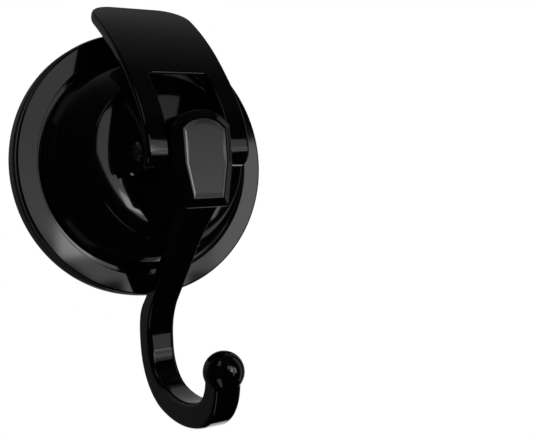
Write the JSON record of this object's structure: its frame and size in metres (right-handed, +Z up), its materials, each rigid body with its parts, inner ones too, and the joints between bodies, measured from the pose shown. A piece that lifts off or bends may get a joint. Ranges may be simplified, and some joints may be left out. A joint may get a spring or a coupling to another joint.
{
  "type": "suction cup hook",
  "caption": "Suction cup wall hook: a cam lever draws the pad's middle off the wall, and a curved hook with a ball tip hangs below the dome.",
  "frame": {"origin": "centre of the pad's back, on the wall", "axes": "+X to the right as seen from the room, +Y into the wall, +Z up"},
  "size_m": [0.085, 0.056, 0.1313],
  "materials": {
    "soft_pvc": "smooth, half matt",
    "stud_plastic": "plain moulded",
    "gloss_black": "polished moulding",
    "pin_steel": "bright, splined end"
  },
  "bodies": {
    "cup": {"suction_pad": "soft_pvc", "housing": "gloss_black"},
    "stud": {"pad_stud": "stud_plastic", "hook": "gloss_black"},
    "lever": {"lever": "gloss_black", "pivot_pin": "pin_steel"}
  },
  "joints": [
    {"name": "stud_draw", "type": "slide", "parent": "cup", "child": "stud", "axis": [0, 1, 0], "range_m": [0, 0.0015], "deforming": ["suction_pad"]},
    {"name": "lever_pivot", "type": "hinge", "parent": "stud", "child": "lever", "pos_m": [0, -0.0385, 0.001], "axis": [1, 0, 0], "range_deg": [0, 90]}
  ],
  "couplings": [
    {"joint": "stud_draw", "follows": "lever_pivot", "m_per_rad": 0.00095492}
  ]
}
